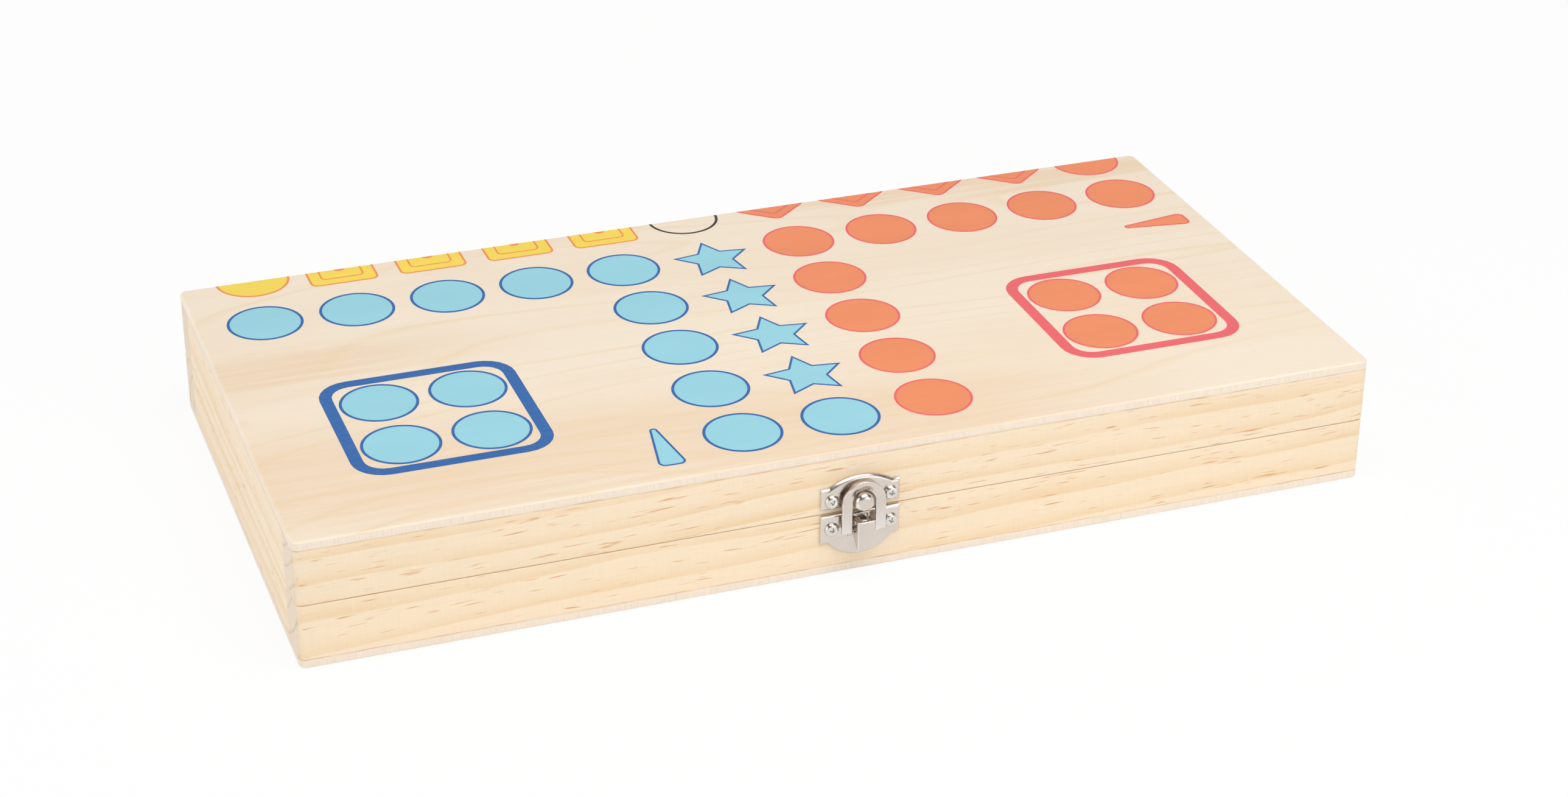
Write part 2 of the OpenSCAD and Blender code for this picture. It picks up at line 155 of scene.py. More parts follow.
class StageLook(bpy.types.PropertyGroup):
    """Floor, light and camera."""

    floor: colour_property("Floor", "Pale floor under the box", "#F4F4F4")
    lens: FloatProperty(
        name="Lens", description="Focal length on a 36 mm sensor", default=72.01,
        min=10, subtype="DISTANCE_CAMERA"
    )
    distance: length_property("Lamp height", "Height of the upper lamp, about twice that of the others", 900)


# Shader nodes

def put(tree, kind, inputs=(), out=0, stops=(), **settings):
    """Adds one node and returns one of its outputs: inputs hold a value or another node's output."""
    made = tree.nodes.new("ShaderNode" + kind)
    for key, value in settings.items():
        setattr(made, key, value)
    if stops:
        ramp = made.color_ramp.elements
        while len(ramp) < len(stops):
            ramp.new(0.5)
        for element, (place, level) in zip(ramp, stops):
            element.position = place
            element.color = (level, level, level, 1)
    for key, value in dict(inputs).items():
        if isinstance(value, bpy.types.NodeSocket):
            tree.links.new(value, made.inputs[key])
        else:
            made.inputs[key].default_value = value
    return made.outputs[out] if made.outputs else None


def calc(tree, operation, *values):
    """One step of arithmetic."""
    return put(tree, "Math", dict(enumerate(values)), operation=operation)


def spread(tree, value, low, high, bottom=0.0, top=1.0):
    """Maps low to high onto bottom to top, and what lies beyond onto the nearer of the two."""
    return put(tree, "MapRange", {0: value, 1: low, 2: high, 3: bottom, 4: top})


def noise(tree, place, scale, detail, rough=0.5, out=0, **inputs):
    """Noise with scale cells to the metre along each axis."""
    stretched = put(tree, "Mapping", {"Vector": place, "Scale": scale})
    return put(tree, "TexNoise", {
        "Vector": stretched, "Scale": 1, "Detail": detail, "Roughness": rough, **inputs}, out)


def mix(tree, factor, under, over, **settings):
    """A colour over another one, as strong as the factor says."""
    return put(tree, "Mix", {0: factor, 6: under, 7: over}, out=2, data_type="RGBA", **settings)


def new_material(name):
    """An empty node material and its tree."""
    material = bpy.data.materials.new(name)
    material.use_nodes = True
    material.node_tree.nodes.clear()
    return material, material.node_tree


# Materials

def pine(name, middle, joint, turn, start, tilt, heart, streaks):
    """Sanded pine with a thin clear coat: soft slanting rings, short resin streaks, saw ticks, end grain.

    In mm: middle is the depth and height of the rail's section once turn has laid it along X, start its own
    stretch of the trunk, heart the middle of the rings from there, joint the height of the panel's joint,
    where seam shade is painted.
    tilt is how far, in radians, the grain runs out of the rail, and streaks how strong they show, up to 1.
    """
    look = bpy.context.scene.ludo_wood
    material, t = new_material(name)
    place = put(t, "TexCoord", out="Object")
    along = put(t, "Mapping", {
        "Vector": place, "Rotation": (tilt if turn else 0, 0 if turn else tilt, turn),
        "Location": (start * MM, -middle[0] * MM, -middle[1] * MM)})

    # growth rings round the heart, which wander by 2 mm over a hand's length
    wander = noise(t, along, (7, 24, 24), 2, 0.45, out="Color")
    moved = put(t, "VectorMath", {0: wander, 1: (0, 0.011, 0.011), 2: along}, operation="MULTIPLY_ADD")
    spoke = put(t, "VectorMath", {
        0: put(t, "VectorMath", {0: moved, 1: (0, heart[0] * MM, heart[1] * MM)}, operation="SUBTRACT"),
        1: (0, 1, 1)}, operation="MULTIPLY")
    radius = put(t, "VectorMath", {0: spoke}, out="Value", operation="LENGTH")
    ring = calc(t, "FRACT", calc(t, "DIVIDE", radius, look.ring_pitch))
    late = put(t, "ValToRGB", {0: ring}, stops=(
        (0, 0.0), (0.4, 0.06), (0.7, 0.5), (0.88, 1.0), (0.93, 0.9), (0.97, 0.0)))

    # broad uneven tone, 60 mm long
    cloud = noise(t, along, (16, 130, 130), 3, 0.6)
    depth = calc(t, "MULTIPLY", late, spread(t, cloud, 0.3, 0.7, 0.3, 1.0))
    colour = mix(t, depth, opaque(look.pine), opaque(look.pine_band))

    # resin streaks, about 5 mm by 0.3 mm, thicker where a slow noise gathers them
    streak = noise(t, moved, (115, 1900, 1900), 1.5, 0.4)
    herd = noise(t, along, (18, 200, 200), 1)
    found = calc(t, "MULTIPLY_ADD", herd, 0.22, streak)
    colour = mix(t, spread(t, found, 0.77, 0.88, 0.0, streaks), colour, opaque(look.pine_streak))

    # fibres along the grain and saw ticks across it, 0.5 mm apart, drawn as coarse as they show
    fibre = noise(t, along, (90, 2600, 2600), 3, 0.6)
    tick = noise(t, along, (1900, 300, 170), 2, 0.55)
    fine = calc(t, "MULTIPLY_ADD", tick, 0.6, fibre)
    colour = mix(t, 1.0, colour, spread(t, fine, 0.5, 1.1, 0.965, 1.025), blend_type="MULTIPLY")

    # sawn ends: greyer, with thin late-wood arcs and open pores
    facing = put(t, "VectorMath", {
        0: put(t, "VectorRotate", {"Vector": put(t, "TexCoord", out="Normal"), "Angle": turn},
               rotation_type="Z_AXIS"), 1: (1, 0, 0)}, out="Value", operation="DOT_PRODUCT")
    sawn = spread(t, calc(t, "ABSOLUTE", facing), 0.78, 0.93)
    arcs = put(t, "ValToRGB", {0: ring}, stops=((0, 0.0), (0.7, 0.0), (0.86, 1.0), (0.93, 0.0), (1.0, 0.0)))
    pores = put(t, "TexNoise", {"Vector": along, "Scale": 2400, "Detail": 2, "Roughness": 0.7})
    pitted = calc(t, "ADD", calc(t, "MULTIPLY", arcs, 0.5), spread(t, pores, 0.45, 0.8, 0.0, 0.5))
    ends = mix(t, pitted, opaque(look.pine_end), opaque("#C9AE8C"))
    colour = mix(t, sawn, colour, ends)

    # painted seam shade where the panel sits on the rail: a thin brown line on the joint that fades in and
    # out along the rail
    height = put(t, "SeparateXYZ", {0: place}, out="Z")
    away = calc(t, "ABSOLUTE", calc(t, "SUBTRACT", height, joint * MM))
    shade_breaks = noise(t, along, (130, 900, 900), 3)
    line = calc(t, "MULTIPLY", spread(t, away, 0.00008, 0.00028, 1.0, 0.0),
                spread(t, shade_breaks, 0.4, 0.62, 0.15, 0.6))
    colour = mix(t, line, colour, opaque("#B98F6C"))

    relief = put(t, "Bump", {"Strength": 0.25, "Distance": 0.00004, "Height": fine}, out="Normal")
    skin = put(t, "BsdfPrincipled", {
        "Base Color": colour, "Roughness": spread(t, fibre, 0.3, 0.7, 0.46, 0.62), "IOR": 1.5,
        "Normal": relief, "Coat Weight": 0.08, "Coat Roughness": 0.35})
    put(t, "OutputMaterial", {"Surface": skin})
    return material


def plywood(name, outer, inward, slide, bands):
    """Sanded three-ply: a pale flushed face veneer with fine fibres, a greyer cross-laid core on its edge.

    outer is the height of its printed face in mm, and inward is 1 where the depth grows upwards, or else -1.
    slide moves the veneer's figure, in mm, so that no two panels are alike.
    bands are the veneer's broad peach stripes, in mm: their middle, half width, and where they fade along X.
    """
    slant = 0.09                # how far a stripe moves across the veneer over each mm along it
    wander, fray = 34, 16       # how far the two noises move a stripe, from end to end, in mm
    mean = (wander + fray) / 2  # what they add on average
    look = bpy.context.scene.ludo_wood
    material, t = new_material(name)
    place = put(t, "TexCoord", out="Object")
    along = put(t, "Mapping", {"Vector": place, "Location": [s * MM for s in slide]})

    # broad peach stripes along the veneer, whose feathered sides wander by some 8 mm
    wide = noise(t, along, (6, 26, 5), 4, 0.6, Distortion=0.4)
    feather = noise(t, along, (14, 420, 5), 3)
    spot = put(t, "SeparateXYZ", {0: place}, out="X")
    drift = put(t, "SeparateXYZ", {0: place}, out="Y")
    for value, factor in ((spot, slant), (wide, wander * MM), (feather, fray * MM)):
        drift = calc(t, "MULTIPLY_ADD", value, factor, drift)
    flush = spread(t, wide, 0.45, 0.75, 0.0, 0.45)
    for middle, half, end in bands:
        across = calc(t, "ABSOLUTE", calc(t, "SUBTRACT", drift, (middle + mean) * MM))
        stripe = calc(t, "MULTIPLY", spread(t, across, half * 0.5 * MM, half * 1.5 * MM, 0.85, 0.0),
                      spread(t, spot, (end - 70) * MM, end * MM, 1.0, 0.0))
        stripe = calc(t, "MULTIPLY", stripe, spread(t, feather, 0.35, 0.6, 0.65, 1.0))
        flush = calc(t, "MAXIMUM", flush, stripe)
    colour = mix(t, flush, opaque(look.veneer), opaque(look.veneer_band))

    # thin arched growth lines, where the knife met a ring at a low angle
    hill = noise(t, along, (3.2, 17, 4), 1.2, 0.35)
    contour = calc(t, "FRACT", calc(t, "MULTIPLY", hill, 17.0))
    arches = put(t, "ValToRGB", {0: contour}, stops=(
        (0, 0.0), (0.7, 0.0), (0.84, 0.9), (0.88, 0.1), (1.0, 0.0)))
    faint = calc(t, "MULTIPLY", arches, spread(t, wide, 0.35, 0.6, 0.65, 0.15))
    colour = mix(t, faint, colour, opaque("#EFD3A4"))

    # fine fibres and short pores along the veneer
    fibre = noise(t, along, (60, 2300, 2300), 3, 0.6)
    pore = noise(t, along, (170, 2600, 2600), 1)
    colour = mix(t, 1.0, colour, spread(t, fibre, 0.3, 0.7, 0.978, 1.012), blend_type="MULTIPLY")
    colour = mix(t, spread(t, pore, 0.72, 0.80, 0.0, 0.3), colour, opaque("#D9B48C"))

    # the core, by depth under the face, with ticks across its end grain
    height = put(t, "SeparateXYZ", {0: place}, out="Z")
    depth = calc(t, "MULTIPLY", calc(t, "SUBTRACT", height, outer * MM), inward)
    tick = noise(t, along, (2300, 2300, 160), 3, 0.6)
    core = mix(t, spread(t, tick, 0.35, 0.7), opaque(look.core), opaque("#EEDFCD"))
    in_core = spread(t, depth, 0.00048, 0.00054)
    out_core = spread(t, depth, 0.00198, 0.00204, 1.0, 0.0)
    colour = mix(t, calc(t, "MULTIPLY", in_core, out_core), colour, core)

    # painted seam shade at the panel's inner side, where it sits on the rail: a broken brown line 2.4 mm
    # under the face
    painted_seam_shade = calc(t, "LESS_THAN", calc(t, "ABSOLUTE", calc(t, "SUBTRACT", depth, 0.0024)), 0.00007)
    shade_breaks = noise(t, along, (120, 120, 900), 3)
    painted_seam_shade = calc(t, "MULTIPLY", painted_seam_shade, spread(t, shade_breaks, 0.42, 0.62, 0.1, 0.6))
    colour = mix(t, painted_seam_shade, colour, opaque("#C79A80"))

    relief = put(t, "Bump", {"Strength": 0.12, "Distance": 0.00003, "Height": fibre}, out="Normal")
    skin = put(t, "BsdfPrincipled", {
        "Base Color": colour, "IOR": 1.5, "Normal": relief,
        "Roughness": spread(t, fibre, 0.3, 0.7, 0.42, 0.56), "Coat Weight": 0.1, "Coat Roughness": 0.3})
    put(t, "OutputMaterial", {"Surface": skin})
    return material


def ink(name, colour, speckle):
    """Screen-printed ink: even colour, with the wood's fibres and a fine pale grain, as strong as speckle."""
    material, t = new_material(name)
    place = put(t, "TexCoord", out="Object")
    fibre = noise(t, place, (60, 1800, 1800), 3, 0.6)
    grain = put(t, "TexNoise", {"Vector": place, "Scale": 3800, "Detail": 2, "Roughness": 0.7})
    cloud = noise(t, place, (25, 90, 90), 2)
    pale = calc(t, "ADD", spread(t, grain, 0.5, 0.75, 0.0, speckle), spread(t, fibre, 0.45, 0.75, 0.0, 0.04))
    tint = mix(t, pale, opaque(colour), opaque("#F5E6D0"))
    tint = mix(t, 1.0, tint, spread(t, cloud, 0.3, 0.7, 0.975, 1.02), blend_type="MULTIPLY")
    relief = put(t, "Bump", {"Strength": 0.08, "Distance": 0.00002, "Height": fibre}, out="Normal")
    skin = put(t, "BsdfPrincipled", {
        "Base Color": tint, "IOR": 1.48, "Normal": relief,
        "Roughness": spread(t, grain, 0.3, 0.7, 0.38, 0.5)})
    put(t, "OutputMaterial", {"Surface": skin})
    return material


def plated(name, colour, rough, wear_and_glint="#FFFFFF", brush=(900, 900, 900)):
    """Plated pressed steel: a soft satin shine with faint drawing lines, its sharp edges painted paler,
    partly as rubbed wear and partly as a painted highlight.
    """
    swing = 0.06        # how much rougher and smoother the drawing lines are
    material, t = new_material(name)
    place = put(t, "TexCoord", out="Object")
    lines = noise(t, place, brush, 3, 0.6)
    cloud = put(t, "TexNoise", {"Vector": place, "Scale": 190, "Detail": 3, "Roughness": 0.6})
    tint = mix(t, spread(t, cloud, 0.35, 0.7, 0.0, 0.12), opaque(colour), opaque("#A89F95"))
    # sharp edges, found by pointiness, are painted paler: partly rubbed wear, partly a painted highlight
    edge = put(t, "NewGeometry", out="Pointiness")
    tint = mix(t, spread(t, edge, 0.53, 0.62, 0.0, 0.35), tint, opaque(wear_and_glint))
    relief = put(t, "Bump", {"Strength": 0.12, "Distance": 0.00002, "Height": lines}, out="Normal")
    skin = put(t, "BsdfPrincipled", {
        "Base Color": tint, "Metallic": 1.0, "Normal": relief,
        "Roughness": spread(t, lines, 0.3, 0.7, rough - swing, rough + swing)})
    put(t, "OutputMaterial", {"Surface": skin})
    return material


def shown_background(tree):
    """1 for rays that show the white background, straight or in metal, and 0 for those that light the box."""
    seen = put(tree, "LightPath", out="Is Camera Ray")
    for kind in ("Is Glossy Ray", "Is Transmission Ray"):
        seen = calc(tree, "MAXIMUM", seen, put(tree, "LightPath", out=kind))
    return seen


# Modelling

def only(*pieces):
    """Selects these pieces alone, the first as the active one."""
    bpy.ops.object.select_all(action="DESELECT")
    for piece in pieces:
        piece.select_set(True)
    bpy.context.view_layer.objects.active = pieces[0]


def edit(*steps):
    """Runs steps in edit mode on all of the active piece, each as (operator, settings)."""
    bpy.ops.object.mode_set(mode="EDIT")
    bpy.ops.mesh.select_all(action="SELECT")
    for step, settings in steps:
        step(**settings)
    bpy.ops.object.mode_set(mode="OBJECT")


def finish_with(piece, kind, **settings):
    """Adds one modifier to a piece and applies it."""
    only(piece)
    modifier = piece.modifiers.new(kind.title(), kind)
    for key, value in settings.items():
        setattr(modifier, key, value)
    bpy.ops.object.modifier_apply(modifier=modifier.name)


def smooth(piece, degrees=35):
    only(piece)
    bpy.ops.object.shade_smooth_by_angle(angle=math.radians(degrees))


def hand_over(piece, material, slot, body, *nodes):
    """Gives a finished piece its material and its body, and hides the CAD nodes it stands for; slot is not
    used.
    """
    piece.data.materials.clear()
    piece.data.materials.append(material)
    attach(piece, body)
    if nodes:
        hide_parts(*nodes)


def merged_copy(node, name):
    """A copy of a CAD node's loose triangles, merged to whole faces so that it can be shaded and bevelled."""
    piece = bpy.data.objects.new(name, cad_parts[node].data.copy())
    bpy.context.collection.objects.link(piece)
    only(piece)
    bpy.ops.mesh.customdata_custom_splitnormals_clear()
    edit((bpy.ops.mesh.remove_doubles, {"threshold": 2e-6}),
         (bpy.ops.mesh.dissolve_limited, {"angle_limit": math.radians(0.4)}))
    return piece


def cut(piece, place, away):
    """Cuts a piece straight through a place, in mm, closes the cut and drops what lies on its away side."""
    only(piece)
    edit((bpy.ops.mesh.bisect, {
        "plane_co": [c * MM for c in place], "plane_no": away, "use_fill": True, "clear_outer": True,
        "threshold": 1e-6}))
    return piece


def round_border(piece, chosen, width, segments=4, profile=0.5):
    """Rounds the sharp edges of a piece that chosen(edge) picks."""
    only(piece)
    bpy.ops.object.mode_set(mode="EDIT")
    bpy.ops.mesh.select_mode(type="EDGE")
    bpy.ops.mesh.select_all(action="DESELECT")
    shape = bmesh.from_edit_mesh(piece.data)
    for edge in shape.edges:
        sharp = len(edge.link_faces) == 2 and edge.calc_face_angle(0) > math.radians(35)
        edge.select_set(sharp and chosen(edge))
    bmesh.update_edit_mesh(piece.data)
    bpy.ops.mesh.bevel(offset=width, segments=segments, profile=profile, affect="EDGES", clamp_overlap=False)
    bpy.ops.object.mode_set(mode="OBJECT")


def sag(y):
    """How far the panels' eased fold edge lies under their face at y, in mm."""
    past = min(max(y - (FOLD - EASED), 0.0), EASED)
    return EASED - math.sqrt(EASED * EASED - past * past)


def film(corners, rounding=0.0, shrink=0.0, line=0.0, out=FILL_OUT):
    """One printed shape round the origin, in mm: a filled film, or its outline where line is its width."""
    bpy.ops.object.select_all(action="DESELECT")
    bpy.ops.mesh.primitive_circle_add(vertices=len(corners), radius=MM, fill_type="NGON")
    piece = bpy.context.object
    for vertex, (x, y) in zip(piece.data.vertices, corners):
        vertex.co = (x * MM, y * MM, -INK_IN * MM)
    bpy.ops.object.mode_set(mode="EDIT")
    bpy.ops.mesh.select_mode(type="VERT")
    bpy.ops.mesh.select_all(action="SELECT")
    if rounding:
        bpy.ops.mesh.bevel(offset=rounding * MM, segments=6, affect="VERTICES")
    bpy.ops.mesh.select_mode(type="FACE")
    bpy.ops.mesh.select_all(action="SELECT")
    if shrink:
        bpy.ops.mesh.inset(thickness=shrink * MM)
        bpy.ops.mesh.select_all(action="INVERT")
        bpy.ops.mesh.delete(type="FACE")
        bpy.ops.mesh.select_all(action="SELECT")
    if line:
        bpy.ops.mesh.inset(thickness=line * MM)
        bpy.ops.mesh.delete(type="FACE")
        bpy.ops.mesh.select_all(action="SELECT")
    bpy.ops.mesh.extrude_region_move(TRANSFORM_OT_translate={"value": (0, 0, (INK_IN + out) * MM)})
    bpy.ops.mesh.select_all(action="SELECT")
    bpy.ops.mesh.normals_make_consistent(inside=False)
    bpy.ops.object.mode_set(mode="OBJECT")
    return piece


def round_corners(radius, count=72):
    turns = [2 * math.pi * i / count for i in range(count)]
    return [(radius * math.cos(a), radius * math.sin(a)) for a in turns]


def star_corners(tip, notch):
    turns = [(math.pi * (0.5 + i / 5), tip if i % 2 == 0 else notch) for i in range(10)]
    return [(r * math.cos(a), r * math.sin(a)) for a, r in turns]


def square_corners(half):
    return [(half, half), (-half, half), (-half, -half), (half, -half)]


def lay(name, material, body, stamps):
    """Copies films to their places on one half of the board and joins them to one piece of one ink.

    stamps pairs a film with its places, each x, y and turn in degrees, on the upper panel's top face
    or, mirrored downwards, on the lower panel's underside. Creases let what crosses the fold bend over
    the eased edge, and the last of them is where it is cut.
    """
    upper = body == "upper_tray"
    copies = []
    for master, places in stamps:
        for x, y, *turn in places:
            copy = bpy.data.objects.new(name, master.data.copy())
            bpy.context.collection.objects.link(copy)
            seat = Matrix.Translation((x * MM, y * MM, TOP * MM if upper else 0))
            flip = Matrix.Identity(4) if upper else Matrix.Scale(-1, 4, (0, 0, 1))
            copy.data.transform(seat @ flip @ Matrix.Rotation(math.radians(turn[0] if turn else 0), 4, "Z"))
            copies.append(copy)
    only(*copies)
    if len(copies) > 1:
        bpy.ops.object.join()
    piece = copies[0]
    bpy.ops.object.mode_set(mode="EDIT")
    creases = (FOLD - EASED, FOLD - 0.4, FOLD - 0.25, FOLD - 0.12)
    for y in creases:
        end = y == creases[-1]
        bpy.ops.mesh.select_all(action="SELECT")
        bpy.ops.mesh.bisect(plane_co=(0, y * MM, 0), plane_no=(0, 1, 0), use_fill=end, clear_outer=end,
                            threshold=1e-6)
    bpy.ops.mesh.select_all(action="SELECT")
    bpy.ops.mesh.normals_make_consistent(inside=False)
    bpy.ops.object.mode_set(mode="OBJECT")
    for vertex in piece.data.vertices:
        vertex.co.z += sag(vertex.co.y / MM) * MM * (-1 if upper else 1)
    hand_over(piece, material, "plywood", body)


def discard(*masters):
    for master in masters:
        bpy.data.objects.remove(master)


# Print, in mm on the panels

def left_field(i, j):
    """Middle of a field on the left side: i counts along the fold from the middle column, j away from it."""
    first, pitch = 28.0, 26.05
    return (ROW_PITCH * i, FOLD - (first + pitch * (j - 1)))


def right_field(i, j):
    """The same on the right side, which is printed a little off the left one's grid."""
    first, pitch = 26.0, 26.07
    return (RIGHT_SHIFT + ROW_PITCH * i, FOLD - (first + pitch * (j - 1)))


def homes(x):
    """The four home places of the yard whose middle is at x."""
    steps = (-HOME_STEP, HOME_STEP)
    return [(x + dx, YARD_Y + dy) for dx in steps for dy in steps]


def figures(look):
    """The figures that the print repeats, by name: filled ones, and outlines that stand a little higher."""
    outer, width = look.field / MM / 2, look.outline / MM
    thin = outer - 0.05
    tile, diamond = square_corners(9.9), [(11.5, 0), (0, 9.6), (-11.5, 0), (0, -9.6)]
    inner_diamond = [(0.6 * x, 0.6 * y) for x, y in diamond]
    star = star_corners(look.star / MM, look.star / MM / 2)
    wedge = [(0.95, 10.2), (-0.95, 10.2), (-3.8, -8.8), (-2.6, -10.2), (2.6, -10.2), (3.8, -8.8)]
    arrow = [(0, 10.8), (-9.4, -6.2), (9.4, -6.2)]
    return {
        "disc": film(round_corners(outer), shrink=width / 2),
        "ring": film(round_corners(outer), line=width, out=LINE_OUT),
        "thin_disc": film(round_corners(thin), shrink=width * 0.4),
        "thin_ring": film(round_corners(thin), line=width * 0.8, out=LINE_OUT),
        "tile": film(tile, rounding=2.2, shrink=0.3),
        "tile_ring": film(tile, rounding=2.2, line=0.6, out=LINE_OUT),
        "tile_inner": film(square_corners(6.3), rounding=1.6, line=0.5, out=LINE_OUT),
        "tile_dot": film(round_corners(1.7, 32), out=LINE_OUT),
        "lozenge": film(diamond, rounding=2.0, shrink=0.3),
        "lozenge_ring": film(diamond, rounding=2.0, line=0.6, out=LINE_OUT),
        "lozenge_inner": film(inner_diamond, rounding=1.2, line=0.5, out=LINE_OUT),
        "star": film(star, shrink=0.3),
        "star_ring": film(star, line=0.62, out=LINE_OUT),
        "wedge": film(wedge, rounding=0.8, shrink=0.25),
        "wedge_ring": film(wedge, rounding=0.8, line=0.6, out=LINE_OUT),
        "arrow": film(arrow, rounding=2.6, shrink=0.3),
        "arrow_ring": film(arrow, rounding=2.6, line=0.62, out=LINE_OUT),
        "yard": film(square_corners(look.yard / MM / 2), rounding=9.0, line=3.4, out=LINE_OUT),
    }


def print_half(body, look):
    """Lays the films of one half. Both halves carry their side of the fold row."""
    left = [left_field(i, 1) for i in range(-5, 0)] + [left_field(-1, j) for j in range(2, 6)]
    right = [right_field(i, 1) for i in range(1, 6)] + [right_field(1, j) for j in range(2, 6)]
    path = [(0.9, y) for y in (45.5, 19.7, -6.2, -32.0)]
    path_end = left_field(0, 5)[1]
    tiles = [(ROW_PITCH * i + ROW_SHIFT, FOLD) for i in range(-4, 0)]
    lozenges = [(ROW_PITCH * i + RIGHT_SHIFT, FOLD) for i in range(1, 5)]
    left_end, middle = [(-129.0, FOLD)], [(ROW_SHIFT, FOLD)]
    right_end = [(ROW_PITCH * 5 + RIGHT_SHIFT, FOLD)]
    left_yard, right_yard = [(-YARD_X, YARD_Y)], [(YARD_X, YARD_Y)]
    if body == "upper_tray":
        half = "upper_"
        blue = left + [(1.2, path_end)] + homes(-YARD_X)
        red = right + homes(YARD_X) + right_end
        blue_start, red_start = [(-48.4, -57.8, -2)], [(134.4, 26.3, 90)]
        plan = (
            ("fields_blue", "sky_blue", look.sky, 0.1,
             {"disc": blue, "star": path, "wedge": blue_start}),
            ("outlines_blue", "deep_blue", look.deep_blue, 0.1,
             {"ring": blue, "star_ring": path, "wedge_ring": blue_start, "yard": left_yard}),
            ("fields_orange", "orange", look.orange, 0.1,
             {"thin_disc": red, "lozenge": lozenges, "wedge": red_start}),
            ("outlines_orange", "coral", look.coral, 0.1,
             {"thin_ring": red, "lozenge_ring": lozenges, "lozenge_inner": lozenges,
              "wedge_ring": red_start, "yard": right_yard}),
            ("fields_yellow", "yellow", look.yellow, 0.1,
             {"disc": left_end, "tile": tiles}),
            ("outlines_yellow", "amber", look.amber, 0.1,
             {"thin_ring": left_end, "tile_ring": tiles, "tile_inner": tiles, "tile_dot": tiles}),
            ("outline_black", "black", look.black, 0.05, {"ring": middle}),
        )
    else:
        half = "lower_"
        gold = left + homes(-YARD_X) + left_end
        leaf = right + [(0.9, path_end)] + homes(YARD_X)
        gold_start, leaf_start = [(-134.4, 26.3, -90)], [(51.0, -57.8, 2)]
        plan = (
            ("fields_yellow", "yellow_lower", look.yellow, 0.1,
             {"disc": gold, "tile": tiles, "wedge": gold_start}),
            ("outlines_yellow", "amber_lower", look.amber, 0.1,
             {"thin_ring": gold, "tile_ring": tiles, "tile_inner": tiles, "tile_dot": tiles,
              "wedge_ring": gold_start, "yard": left_yard}),
            ("fields_green", "green", look.green, 0.1,
             {"disc": leaf, "arrow": path, "wedge": leaf_start}),
            ("outlines_green", "deep_green", look.deep_green, 0.16,
             {"ring": leaf, "arrow_ring": path, "wedge_ring": leaf_start, "yard": right_yard}),
            ("fields_orange", "orange_lower", look.orange, 0.1,
             {"thin_disc": right_end, "lozenge": lozenges}),
            ("outlines_orange", "coral_lower", look.coral, 0.1,
             {"thin_ring": right_end, "lozenge_ring": lozenges, "lozenge_inner": lozenges}),
            ("outline_black", "black_lower", look.black, 0.05, {"ring": middle}),
        )
    masters = figures(look)
    for piece, shade, colour, speckle, stamps in plan:
        lay(half + piece, ink("screen_ink_" + shade, colour, speckle), body,
            [(masters[figure], places) for figure, places in stamps.items()])
    discard(*masters.values())


# Operators for the wood, the print and the hinges

class LUDO_OT_pine_rails(bpy.types.Operator):
    """Dress the eight pine rails: four to each tray, the long ones over the ends of the short ones"""

    bl_idname = "ludo.pine_rails"
    bl_label = "Pine rails"

    def execute(self, context):
        for node, start, tilt, heart, streaks in (
            ("lower_front_rail", 31, 0.03, (28, 40), 0.9),
            ("lower_back_rail", 815, -0.015, (-30, -28), 0.6),
            ("upper_front_rail", 420, 0.03, (26, 44), 0.9),
            ("upper_back_rail", 1240, 0.018, (-36, 40), 0.6),
            ("lower_left_rail", 90, 0.02, (34, -36), 0.85),
            ("lower_right_rail", 1010, 0.015, (-32, -26), 0.6),
            ("upper_left_rail", 560, -0.02, (30, 30), 0.8),
            ("upper_right_rail", 1490, -0.02, (-28, 40), 0.6),
        ):
            tray, side = node.split("_")[:2]
            reach = LONG_RAIL if side in ("front", "back") else SHORT_RAIL
            middle = (reach if side in ("back", "right") else -reach,
                      LOW_RAIL if tray == "lower" else HIGH_RAIL)
            material = pine(
                "sanded_pine_" + node, middle, joint=PANEL if tray == "lower" else TOP - PANEL,
                turn=math.pi / 2 if reach == SHORT_RAIL else 0,
                start=start, tilt=tilt, heart=heart, streaks=streaks)
            piece = merged_copy(node, "pine_" + node)
            smooth(piece)
            hand_over(piece, material, "pine", tray + "_tray", node)
        return {"FINISHED"}


class LUDO_OT_plywood_panels(bpy.types.Operator):
    """Dress the two plywood panels, whose cross-laid core shows on their edges"""

    bl_idname = "ludo.plywood_panels"
    bl_label = "Plywood panels"

    def execute(self, context):
        for node, body, outer, inward, slide, bands in (
            ("upper_panel", "upper_tray", TOP, -1.0, (12, 5, 0),
             ((8, 9, -55), (-60, 25, 110), (78, 7, 250))),
            ("lower_panel", "lower_tray", 0.0, 1.0, (640, 200, 90), ((-18, 16, 250), (44, 9, 60))),
        ):
            piece = merged_copy(node, "plywood_" + node)
            smooth(piece)
            material = plywood("sanded_plywood_" + node, outer, inward, slide, bands)
            hand_over(piece, material, "plywood", body, node)
        return {"FINISHED"}


class LUDO_OT_upper_print(bpy.types.Operator):
    """Print the half of the board on the upper panel: blue and orange fields, stars, yards and start marks"""

    bl_idname = "ludo.upper_print"
    bl_label = "Upper print"

    def execute(self, context):
        print_half("upper_tray", context.scene.ludo_print)
        return {"FINISHED"}


class LUDO_OT_lower_print(bpy.types.Operator):
    """Print the other half of the board on the lower panel's outer face: yellow and green fields and yards"""

    bl_idname = "ludo.lower_print"
    bl_label = "Lower print"

    def execute(self, context):
        print_half("lower_tray", context.scene.ludo_print)
        return {"FINISHED"}


